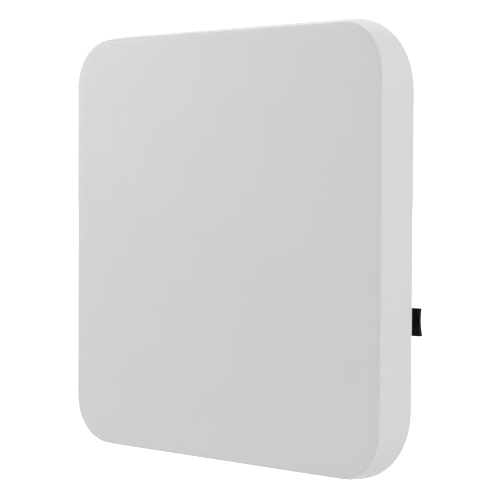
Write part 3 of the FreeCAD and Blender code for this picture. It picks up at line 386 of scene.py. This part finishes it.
class Shader:
    """A principled material under construction, with object coordinates in metres."""

    def __init__(self, name, roughness, metallic=0.0, specular=0.5):
        self.material = bpy.data.materials.new(name)
        self.material.use_nodes = True
        self.tree = self.material.node_tree
        self.surface = self.tree.nodes["Principled BSDF"]
        self.surface.inputs["Roughness"].default_value = roughness
        self.surface.inputs["Metallic"].default_value = metallic
        self.surface.inputs["Specular IOR Level"].default_value = specular
        self.coordinates = self.tree.nodes.new("ShaderNodeTexCoord").outputs["Object"]
        self.height = None

    def link(self, output, socket):
        self.tree.links.new(output, socket)

    def stretched(self, scale):
        """Object coordinates scaled along each axis."""
        mapping = self.tree.nodes.new("ShaderNodeMapping")
        mapping.inputs["Scale"].default_value = scale
        self.link(self.coordinates, mapping.inputs["Vector"])
        return mapping.outputs["Vector"]

    def noise(self, scale, detail=2.0, vector=None):
        """Noise between 0 and 1; scale is in cells for each metre."""
        node = self.tree.nodes.new("ShaderNodeTexNoise")
        node.inputs["Scale"].default_value = scale
        node.inputs["Detail"].default_value = detail
        self.link(vector or self.coordinates, node.inputs["Vector"])
        return node.outputs["Fac"]

    def cells(self, scale):
        """Distance from the nearest cell's centre."""
        node = self.tree.nodes.new("ShaderNodeTexVoronoi")
        node.inputs["Scale"].default_value = scale
        self.link(self.coordinates, node.inputs["Vector"])
        return node.outputs["Distance"]

    def ramp(self, value, low, high, first, last):
        """Colour that goes from first to last as value goes from low to high."""
        node = self.tree.nodes.new("ShaderNodeValToRGB")
        node.color_ramp.elements[0].position = low
        node.color_ramp.elements[1].position = high
        node.color_ramp.elements[0].color = (*first, 1.0)
        node.color_ramp.elements[1].color = (*last, 1.0)
        self.link(value, node.inputs["Fac"])
        return node.outputs["Color"]

    def spread(self, value, low, high):
        """Value between 0 and 1 moved into a range."""
        node = self.tree.nodes.new("ShaderNodeMapRange")
        node.inputs["To Min"].default_value = low
        node.inputs["To Max"].default_value = high
        self.link(value, node.inputs["Value"])
        return node.outputs["Result"]

    def colour(self, output):
        self.link(output, self.surface.inputs["Base Color"])

    def roughness(self, output):
        self.link(output, self.surface.inputs["Roughness"])

    def bump(self, value, distance, strength=1.0):
        """One more layer of relief; distance is its depth in metres."""
        node = self.tree.nodes.new("ShaderNodeBump")
        node.inputs["Distance"].default_value = distance
        node.inputs["Strength"].default_value = strength
        self.link(value, node.inputs["Height"])
        if self.height is not None:
            self.link(self.height, node.inputs["Normal"])
        self.height = node.outputs["Normal"]
        self.link(self.height, self.surface.inputs["Normal"])


def shade(colour, share):
    return tuple(channel * share for channel in colour)


def moulded(name, colour, roughness=0.5, grain=3000.0, depth=0.01 * MM, variation=0.02, specular=0.5):
    """Moulded plastic: a fine spark texture, a faint cloudiness and uneven gloss."""
    shader = Shader(name, roughness, specular=specular)
    cloud = shader.noise(scale=28.0, detail=3.0)
    darker = shade(colour, 1.0 - variation)
    lighter = shade(colour, 1.0 + variation)
    shader.colour(shader.ramp(cloud, low=0.35, high=0.65, first=darker, last=lighter))
    gloss = shader.noise(scale=70.0, detail=2.0)
    shader.roughness(shader.spread(gloss, low=roughness - 0.06, high=roughness + 0.06))
    shader.bump(shader.noise(scale=grain, detail=3.0), depth)
    shader.bump(shader.noise(scale=35.0, detail=1.0), distance=0.02 * MM, strength=0.5)
    return shader.material


def powder_coat(name, colour):
    """Powder-coated casting: orange peel over a slightly uneven colour."""
    shader = Shader(name, roughness=0.48)
    cloud = shader.noise(scale=40.0, detail=4.0)
    shader.colour(shader.ramp(cloud, low=0.3, high=0.7, first=shade(colour, 0.97), last=shade(colour, 1.02)))
    shader.roughness(shader.spread(shader.noise(scale=160.0, detail=2.0), low=0.42, high=0.56))
    shader.bump(shader.noise(scale=900.0, detail=2.0), distance=0.03 * MM)
    shader.bump(shader.noise(scale=2600.0, detail=2.0), distance=0.01 * MM)
    return shader.material


def metal(name, colour, roughness, grain=(400.0, 6000.0, 400.0), depth=0.004 * MM, variation=0.06):
    """Plated or rolled metal with directional grain and small stains."""
    shader = Shader(name, roughness, metallic=1.0)
    stain = shader.noise(scale=300.0, detail=4.0)
    darker = shade(colour, 1.0 - variation)
    lighter = shade(colour, 1.0 + variation)
    shader.colour(shader.ramp(stain, low=0.3, high=0.75, first=darker, last=lighter))
    streaks = shader.noise(scale=1.0, detail=2.0, vector=shader.stretched(grain))
    shader.roughness(shader.spread(streaks, low=roughness - 0.08, high=roughness + 0.1))
    shader.bump(streaks, depth)
    return shader.material


def board_material():
    """Solder mask over copper tracks."""
    shader = Shader("board_mask", roughness=0.3)
    tracks = shader.cells(scale=700.0)
    shader.colour(shader.ramp(tracks, low=0.42, high=0.5, first=(0.012, 0.11, 0.05), last=(0.03, 0.20, 0.09)))
    shader.bump(tracks, distance=0.03 * MM, strength=0.5)
    return shader.material


def clear_material():
    """Clear moulding with faint flow lines."""
    shader = Shader("light_clear", roughness=0.12)
    shader.surface.inputs["Transmission Weight"].default_value = 0.85
    flow = shader.noise(scale=500.0)
    shader.colour(shader.ramp(flow, low=0.3, high=0.7, first=(0.82, 0.86, 0.88), last=(0.9, 0.93, 0.95)))
    shader.bump(shader.noise(scale=900.0), distance=0.01 * MM, strength=0.4)
    return shader.material


def soft_material(name, colour, scale):
    """Foam or silicone with open cells."""
    shader = Shader(name, roughness=0.85)
    cells = shader.cells(scale)
    shader.colour(shader.ramp(cells, low=0.1, high=0.6, first=shade(colour, 0.7), last=shade(colour, 1.15)))
    shader.bump(cells, distance=0.08 * MM)
    return shader.material


MATERIALS = {
    "cover_plastic": moulded("cover_plastic", (0.66, 0.665, 0.665), grain=3200.0, depth=0.006 * MM,
                             variation=0.006),
    "chassis_paint": powder_coat("chassis_paint", (0.56, 0.57, 0.575)),
    "housing_plastic": moulded("housing_plastic", (0.10, 0.10, 0.103), grain=2400.0, depth=0.014 * MM,
                               variation=0.08),
    "bracket_plastic": moulded("bracket_plastic", (0.022, 0.021, 0.023), grain=2200.0, depth=0.02 * MM,
                               variation=0.15),
    "latch_plastic": moulded("latch_plastic", (0.005, 0.0047, 0.0054), depth=0.008 * MM, variation=0.1,
                             specular=0.15),
    "stud_steel": metal("stud_steel", (0.72, 0.71, 0.69), roughness=0.22),
    "screw_steel": metal("screw_steel", (0.62, 0.61, 0.59), roughness=0.3),
    "spring_steel": metal("spring_steel", (0.52, 0.52, 0.53), roughness=0.28, grain=(4000.0, 400.0, 400.0)),
    "keeper_steel": metal("keeper_steel", (0.60, 0.60, 0.60), roughness=0.34, grain=(400.0, 400.0, 5000.0)),
    "gasket_rubber": soft_material("gasket_rubber", (0.03, 0.03, 0.03), scale=2500.0),
    "board_mask": board_material(),
    "shield_tin": metal("shield_tin", (0.66, 0.66, 0.64), roughness=0.32),
    "pad_silicone": soft_material("pad_silicone", (0.42, 0.48, 0.55), scale=1800.0),
    "antenna_tin": metal("antenna_tin", (0.72, 0.62, 0.40), roughness=0.3),
    "plate_aluminium": metal("plate_aluminium", (0.78, 0.79, 0.80), roughness=0.35,
                             grain=(5000.0, 400.0, 300.0)),
    "lead_jacket": moulded("lead_jacket", (0.20, 0.20, 0.21), roughness=0.4, grain=2500.0, variation=0.05),
    "plug_gold": metal("plug_gold", (0.85, 0.63, 0.27), roughness=0.22),
    "jack_shell": metal("jack_shell", (0.64, 0.63, 0.61), roughness=0.28, grain=(500.0, 500.0, 5000.0)),
    "jack_black": moulded("jack_black", (0.02, 0.02, 0.021), roughness=0.45, grain=2500.0, depth=0.012 * MM,
                          variation=0.1),
    "chip_black": moulded("chip_black", (0.025, 0.025, 0.028), grain=3500.0, variation=0.1),
    "capacitor_can": metal("capacitor_can", (0.70, 0.70, 0.72), roughness=0.25),
    "light_clear": clear_material(),
    "label_film": moulded("label_film", (0.78, 0.78, 0.77), roughness=0.34, grain=1500.0, depth=0.004 * MM,
                          variation=0.01),
    "button_plastic": moulded("button_plastic", (0.42, 0.43, 0.44), roughness=0.32, depth=0.006 * MM,
                              variation=0.05),
}


def paint_cad_nodes():
    """Every CAD node that stays gets the finish of its own slot."""
    for node, piece in frame["nodes"].items():
        piece.data.materials.clear()
        piece.data.materials.append(MATERIALS[SLOTS[node]])


# ---- cover -------------------------------------------------------------------------------


def cover_section(y, inset=0.0):
    """Half side and corner radius of the cover at a depth."""
    bow = ((RIM_Y - y) / (RIM_Y - FACE_Y)) ** 2
    half = HALF - CREASE_INSET * bow - inset
    radius = RIM_RADIUS - (RIM_RADIUS - CREASE_RADIUS) * bow - inset
    return half, radius


def crease_rings():
    """Round from the side to the face, as half side, corner radius and y."""
    lean = 2 * CREASE_INSET / (RIM_Y - FACE_Y)
    centre_y = FACE_Y + CREASE_FILLET
    centre_half = cover_section(centre_y)[0] - CREASE_FILLET * math.hypot(1.0, lean)
    start = math.atan(lean)
    rings = []
    for step in range(CREASE_STEPS + 1):
        angle = start + (math.pi / 2 - start) * step / CREASE_STEPS
        half = centre_half + CREASE_FILLET * math.cos(angle)
        y = centre_y - CREASE_FILLET * math.sin(angle)
        section_half, section_radius = cover_section(y)
        rings.append((half, half - (section_half - section_radius), y))
    return rings


def ring_points(half, radius, y):
    return [(x, y, z) for x, z in rounded_square(half, radius)]


def face_rings(half, radius, steps, y, rise):
    """Rings that close a face towards its middle, which stands proud by rise."""
    rings = []
    for step in range(1, steps + 1):
        share = 1.0 - step / (steps + MIDDLE_RING)
        ring = []
        for x, z in rounded_square(half * share, radius * share):
            dome = (1.0 - (x / half) ** 2) * (1.0 - (z / half) ** 2)
            ring.append((x, y - rise * dome, z))
        rings.append(ring)
    return rings


def cover_shell():
    """The moulded cover: a closed shell with its outer face, rim and inside."""
    inner_y = FACE_Y + COVER_WALL
    inner_half, inner_radius = cover_section(inner_y, COVER_WALL)
    rings = face_rings(inner_half, inner_radius, INSIDE_STEPS, inner_y, 0.0)[::-1]
    for step in range(INSIDE_STEPS + 1):
        y = inner_y + (RIM_Y - RIM_FILLET - inner_y) * step / INSIDE_STEPS
        rings.append(ring_points(*cover_section(y, COVER_WALL), y))
    rings.append(ring_points(*cover_section(RIM_Y, COVER_WALL - RIM_FILLET), RIM_Y))
    for angle in quarter(EDGE_STEPS):
        y = RIM_Y - RIM_FILLET * (1 - math.cos(angle))
        rings.append(ring_points(*cover_section(y, RIM_FILLET * (1 - math.sin(angle))), y))
    crease = crease_rings()
    side_start = RIM_Y - RIM_FILLET
    side_end = crease[0][2]
    for step in range(1, SIDE_STEPS):
        y = side_start + (side_end - side_start) * step / SIDE_STEPS
        rings.append(ring_points(*cover_section(y), y))
    for half, radius, y in crease:
        rings.append(ring_points(half, radius, y))
    half, radius, y = crease[-1]
    rings += face_rings(half, radius, FACE_STEPS, y, CROWN)
    stand_for("front_cover", skin("cover_shell", [rings]))


# ---- screws, studs, spring and reset button ----------------------------------------------


def grid(node, edge):
    """Places of a node's four equal turned parts, whose heads' radius is edge, as pairs of x and z."""
    low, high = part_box(node)
    return [(x, z) for x in (low.x + edge, high.x - edge) for z in (low.z + edge, high.z - edge)]


def turned(node, places, rows):
    """Turned parts along Y in the place of a CAD node, one at each x and z."""
    shells = [turned_shell(Vector((x, 0.0, z)), ALONG_Y, rows) for x, z in places]
    stand_for(node, skin(node, shells, crease=32))


def head_rows(radius, under, top, edge, socket):
    """Rows of a round head with its driver socket, given as radius and depth."""
    return rounded_foot(radius, under, edge) + rounded_top(radius, top, edge) + socket_rows(*socket, top)


def mounting_studs():
    low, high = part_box("mounting_studs")
    back_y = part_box("rear_chassis")[1].y
    under = high.y - STUD_HEAD_THICK
    rows = shank_rows(STUD_SHANK, STUD_TIP, low.y, back_y)
    rows += [(STUD_NECK - STUD_NECK_BREAK, back_y, 0), (STUD_NECK, back_y + STUD_NECK_BREAK, 0)]
    rows += [(STUD_NECK, under, 0)]
    rows += head_rows(STUD_HEAD, under, high.y, STUD_EDGE, STUD_SOCKET)
    turned("mounting_studs", grid("mounting_studs", STUD_HEAD), rows)


def cover_screws():
    low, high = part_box("cover_screws")
    under = high.y - COVER_SCREW_HEAD_THICK
    rows = shank_rows(COVER_SCREW_SHANK, SCREW_TIP, low.y, under)
    rows += head_rows(COVER_SCREW_HEAD, under, high.y, COVER_SCREW_EDGE, COVER_SCREW_SOCKET)
    turned("cover_screws", grid("cover_screws", COVER_SCREW_HEAD), rows)


def keeper_screws():
    low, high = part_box("keeper_screws")
    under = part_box("latch_keeper")[1].y
    rows = shank_rows(KEEPER_SCREW_SHANK, SCREW_TIP, low.y, under)
    rows += head_rows(KEEPER_SCREW_HEAD, under, high.y, KEEPER_SCREW_EDGE, KEEPER_SCREW_SOCKET)
    middle_x = (low.x + high.x) / 2
    places = [(middle_x, low.z + KEEPER_SCREW_HEAD), (middle_x, high.z - KEEPER_SCREW_HEAD)]
    turned("keeper_screws", places, rows)


def latch_spring():
    """Compression spring with closed end coils."""
    low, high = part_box("latch_spring")
    middle = (low + high) / 2
    radius = (high.z - low.z) / 2 - SPRING_WIRE
    length = high.x - low.x - 2 * SPRING_WIRE
    steps = SPRING_TURNS * SPRING_TURN_STEPS
    rings = []
    for step in range(steps + 1):
        share = step / steps
        angle = 2 * math.pi * SPRING_TURNS * share
        eased = share - END_COIL_EASE * math.sin(2 * math.pi * share) / (2 * math.pi)
        outward = ALONG_Y * math.cos(angle) + ALONG_Z * math.sin(angle)
        centre = Vector((low.x + SPRING_WIRE + length * eased, middle.y, middle.z)) + outward * radius
        rings.append(round_ring(centre, SPRING_WIRE, ALONG_X, outward, count=SPRING_WIRE_SIDES))
    piece = stand_for("latch_spring", skin("latch_spring", [rings], crease=60))
    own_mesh(piece)


def reset_button():
    """Plunger with a domed end, a collar and a thin tip."""
    low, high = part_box("reset_button")
    place = Vector(((low.x + high.x) / 2, (low.y + high.y) / 2, 0.0))
    collar_low, collar_high = (low.z + rise for rise in RESET_COLLAR_RISE)
    stem_high = low.z + RESET_STEM_RISE
    rows = [(RESET_STEM * math.sin(angle), low.z + RESET_DOME * (1 - math.cos(angle)), 0)
            for angle in quarter(RESET_DOME_STEPS)[1:]]
    rows += [(RESET_STEM, collar_low, 0)]
    rows += rounded_foot(RESET_COLLAR, collar_low, RESET_EDGE)
    rows += rounded_top(RESET_COLLAR, collar_high, RESET_EDGE)
    rows += [(RESET_STEM, collar_high, 0)]
    rows += rounded_top(RESET_STEM, stem_high, RESET_STEM_EDGE)
    rows += [(RESET_TIP, stem_high + RESET_EDGE, 0)]
    rows += rounded_top(RESET_TIP, high.z, RESET_EDGE)
    stand_for("reset_button", skin("reset_button", [turned_shell(place, ALONG_Z, rows)], crease=32))


# ---- jacks -------------------------------------------------------------------------------


def jack_outline(middle_x, floor_y, inset, tongue_rise):
    """Plug cavity with its step and tongue slot, drawn inside by inset, as pairs of x and y."""
    low, high = (floor_y + rise for rise in JACK_CAVITY_RISE)
    step_y = floor_y + JACK_STEP_RISE
    tongue_y = floor_y + tongue_rise
    right = [
        (JACK_CAVITY_HALF, low + inset),
        (JACK_CAVITY_HALF, high - inset),
        (JACK_STEP_HALF, high - inset),
        (JACK_STEP_HALF, step_y - inset),
        (JACK_TONGUE_HALF, step_y - inset),
        (JACK_TONGUE_HALF, tongue_y - inset),
    ]
    mirrored = [(-half, y) for half, y in reversed(right)]
    sides = [(1, right), (-1, mirrored)]
    return [(middle_x + half - sign * inset, y) for sign, points in sides for half, y in points]


def jack_liner(node, middle_x, floor_y, face_z):
    """Black insert inside the jack's metal shell: a cup with the plug's outline."""

    def ring(inset, tongue_rise, depth):
        outline = jack_outline(middle_x, floor_y, inset, tongue_rise)
        return [Vector((x, y, face_z + depth)) for x, y in outline]

    inner = LINER_GAP + LINER_WALL
    rings = [
        ring(LINER_GAP, JACK_STEP_RISE, JACK_CAVITY_DEPTH),
        ring(LINER_GAP, JACK_STEP_RISE, JACK_TONGUE_DEPTH),
        ring(LINER_GAP, JACK_TONGUE_RISE, JACK_TONGUE_DEPTH),
        ring(LINER_GAP, JACK_TONGUE_RISE, LINER_SINK),
        ring(inner, JACK_TONGUE_RISE, LINER_SINK),
        ring(inner, JACK_TONGUE_RISE, JACK_TONGUE_DEPTH - LINER_WALL),
        ring(inner, JACK_STEP_RISE, JACK_TONGUE_DEPTH - LINER_WALL),
        ring(inner, JACK_STEP_RISE, JACK_CAVITY_DEPTH - LINER_WALL),
    ]
    add_detail(node + "_liner", [rings], "jack_black", crease=30)


def jack_contacts(node, middle_x, floor_y, face_z):
    """Eight sprung contacts that rise from the cavity's floor towards its back."""
    base_y = floor_y + JACK_CAVITY_RISE[0] + LINER_WALL + CONTACT_LIFT
    first = middle_x - CONTACT_PITCH * (CONTACT_COUNT - 1) / 2
    shells = []
    for index in range(CONTACT_COUNT):
        x = first + CONTACT_PITCH * index
        points = [Vector((x, base_y + rise * MM, face_z + depth * MM)) for rise, depth in CONTACT_ROUTE]
        shells.append(ribbon_shell(points, CONTACT_HALF_WIDTH, CONTACT_HALF_THICK))
    add_detail(node + "_contacts", shells, "plug_gold", crease=50)


def jack_lenses(node, middle_x, top_y, face_z):
    """Two clear lenses for the jack's indicators, either side of its tongue slot."""
    shells = []
    for side in (-1, 1):
        near_x, far_x = sorted(middle_x + side * reach for reach in LENS_SIDE)
        low = Vector((near_x, top_y - LENS_DROP[0], face_z - LENS_PROUD))
        high = Vector((far_x, top_y - LENS_DROP[1], face_z + LENS_SINK))
        shells.append(cushion_box(low, high, LENS_EDGE))
    add_detail(node + "_lenses", shells, "light_clear", crease=40)


def network_jack(node):
    low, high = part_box(node)
    middle_x = (low.x + high.x) / 2
    refined(node, FINE_EDGE_WIDTH)
    jack_liner(node, middle_x, low.y, low.z)
    jack_contacts(node, middle_x, low.y, low.z)
    jack_lenses(node, middle_x, high.y, low.z)


def console_contacts():
    """Rows of thin contacts on both sides of the console jack's tongue."""
    low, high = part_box("console_jack")
    middle = (low + high) / 2
    half = Vector((CONSOLE_HALF_WIDTH, CONSOLE_HALF_THICK, 0.0))
    shells = []
    for side in (-1, 1):
        for index in range(CONSOLE_CONTACTS):
            x = middle.x + (index - (CONSOLE_CONTACTS - 1) / 2) * CONSOLE_PITCH
            y = middle.y + side * CONSOLE_ROW
            front, back = (Vector((x, y, low.z + depth)) for depth in CONSOLE_DEPTH)
            shells.append(cushion_box(front - half, back + half, CONSOLE_EDGE))
    add_detail("console_contacts", shells, "plug_gold", crease=40)


def power_contacts():
    """Metal sleeve over the power jack's pin, and a lining in its hole."""
    low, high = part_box("power_jack")
    place = Vector(((low.x + high.x) / 2, (low.y + high.y) / 2, low.z))
    pin = [(POWER_PIN * share, depth, 0) for share, depth in POWER_PIN_NOSE]
    pin.append((POWER_PIN, POWER_PIN_DEPTH, 0))
    add_detail("power_pin", [turned_shell(place, ALONG_Z, pin)], "jack_shell", crease=40)
    inner, outer = POWER_SLEEVE
    front, back = POWER_SLEEVE_DEPTH
    sleeve = [(outer, front, 0), (outer, back, 0), (inner, back, 0), (inner, front, 0)]
    add_detail("power_sleeve", [turned_shell(place, ALONG_Z, sleeve)], "jack_shell", crease=40, hollow=True)


# ---- stage -------------------------------------------------------------------------------

CAMERA_AZIMUTH = math.radians(44.83)
CAMERA_ELEVATION = math.radians(1.887)
CAMERA_DISTANCE = 4.1415 * 2 * HALF
CAMERA_PAN = math.radians(-0.627)
CAMERA_TILT = math.radians(0.122)
CAMERA_ROLL = math.radians(0.2885)
CAMERA_LENS = 130.15
SENSOR_WIDTH = 36.0
WORLD_LIGHT = 0.60                       # on the object
WORLD_SEEN = 1.05                        # by the camera
FLOOR_GLOW = 1.05                        # seen by the camera only
FLOOR_DROP = 0.30                        # floor below the unit's lower edge
FLOOR_REACH = 30.0
FLOOR_TONES = (0.90, 0.92)
LIGHTS = (                               # name, azimuth, elevation, distance, size and power
    ("key", -66, 20, 1.1, 0.6, 5.8),
    ("side", 81, 28, 1.2, 0.8, 5.3),
    ("back_left", 215, 40, 1.5, 1.0, 4.5),
    ("back_right", 165, 25, 1.6, 0.9, 1.5),
)


def away_from(azimuth, elevation):
    """Direction from the object to a viewer; azimuth 0 looks along +Y."""
    level = math.cos(elevation)
    return Vector((math.sin(azimuth) * level, -math.cos(azimuth) * level, math.sin(elevation)))


def add_camera():
    middle = Vector((0.0, (FACE_Y + RIM_Y) / 2, 0.0))
    data = bpy.data.cameras.new("camera")
    data.lens = CAMERA_LENS
    data.sensor_width = SENSOR_WIDTH
    camera = bpy.data.objects.new("camera", data)
    bpy.context.scene.collection.objects.link(camera)
    place = middle + away_from(CAMERA_AZIMUTH, CAMERA_ELEVATION) * CAMERA_DISTANCE
    azimuth = CAMERA_AZIMUTH + CAMERA_PAN
    back = away_from(azimuth, CAMERA_ELEVATION + CAMERA_TILT)
    level = Vector((math.cos(azimuth), math.sin(azimuth), 0.0))
    upward = back.cross(level)
    right = level * math.cos(CAMERA_ROLL) + upward * math.sin(CAMERA_ROLL)
    up = -level * math.sin(CAMERA_ROLL) + upward * math.cos(CAMERA_ROLL)
    turn = Matrix((right, up, back)).transposed().to_4x4()
    camera.matrix_world = Matrix.Translation(place) @ turn
    bpy.context.scene.camera = camera


def add_light(name, azimuth, elevation, distance, size, power):
    """Square soft light that faces the object."""
    data = bpy.data.lights.new(name, "AREA")
    data.shape = "SQUARE"
    data.size = size
    data.energy = power
    light = bpy.data.objects.new(name, data)
    bpy.context.scene.collection.objects.link(light)
    direction = away_from(math.radians(azimuth), math.radians(elevation))
    light.location = direction * distance
    light.rotation_euler = direction.to_track_quat("Z", "Y").to_euler()


def add_world():
    """White all round, which lights the object less brightly than it looks."""
    world = bpy.data.worlds.new("studio")
    bpy.context.scene.world = world
    world.use_nodes = True
    tree = world.node_tree
    seen = tree.nodes["Background"]
    seen.inputs["Color"].default_value = WHITE
    seen.inputs["Strength"].default_value = WORLD_SEEN
    light = tree.nodes.new("ShaderNodeBackground")
    light.inputs["Color"].default_value = WHITE
    light.inputs["Strength"].default_value = WORLD_LIGHT
    path = tree.nodes.new("ShaderNodeLightPath")
    mix = tree.nodes.new("ShaderNodeMixShader")
    tree.links.new(path.outputs["Is Camera Ray"], mix.inputs[0])
    tree.links.new(light.outputs[0], mix.inputs[1])
    tree.links.new(seen.outputs[0], mix.inputs[2])
    tree.links.new(mix.outputs[0], tree.nodes["World Output"].inputs["Surface"])


def floor_material():
    """Matt pale floor that the camera sees as brightly as the world around it."""
    material = bpy.data.materials.new("floor")
    material.use_nodes = True
    tree = material.node_tree
    surface = tree.nodes["Principled BSDF"]
    surface.inputs["Roughness"].default_value = 0.9
    surface.inputs["Specular IOR Level"].default_value = 0.1
    surface.inputs["Emission Color"].default_value = WHITE
    noise = tree.nodes.new("ShaderNodeTexNoise")
    noise.inputs["Scale"].default_value = 3.0
    ramp = tree.nodes.new("ShaderNodeValToRGB")
    for element, tone in zip(ramp.color_ramp.elements, FLOOR_TONES):
        element.color = (tone, tone, tone, 1.0)
    tree.links.new(noise.outputs["Fac"], ramp.inputs["Fac"])
    tree.links.new(ramp.outputs["Color"], surface.inputs["Base Color"])
    path = tree.nodes.new("ShaderNodeLightPath")
    glow = tree.nodes.new("ShaderNodeMapRange")
    glow.inputs["To Max"].default_value = FLOOR_GLOW
    tree.links.new(path.outputs["Is Camera Ray"], glow.inputs["Value"])
    tree.links.new(glow.outputs["Result"], surface.inputs["Emission Strength"])
    return material


def add_floor():
    mesh = bpy.data.meshes.new("floor")
    height = -HALF - FLOOR_DROP
    corners = [(-sign_x * FLOOR_REACH, -sign_y * FLOOR_REACH, height) for sign_x, sign_y in QUADRANTS]
    mesh.from_pydata(corners, [], [(0, 1, 2, 3)])
    mesh.materials.append(floor_material())
    floor = bpy.data.objects.new("floor", mesh)
    bpy.context.scene.collection.objects.link(floor)


# ---- the object --------------------------------------------------------------------------

paint_cad_nodes()
cover_shell()
mounting_studs()
cover_screws()
keeper_screws()
latch_spring()
reset_button()
for jack in ("lan_jack_1", "lan_jack_2"):
    network_jack(jack)
console_contacts()
power_contacts()
for node in ("rear_chassis", "port_housing", "mounting_bracket", "latch_slider"):
    refined(node)
for node in ("lock_plate", "latch_keeper", "console_jack", "power_jack"):
    refined(node, FINE_EDGE_WIDTH)
refined("label_plate", LABEL_EDGE_WIDTH)

add_camera()
add_world()
add_floor()
for light in LIGHTS:
    add_light(*light)

bpy.context.scene.view_settings.view_transform = "Standard"
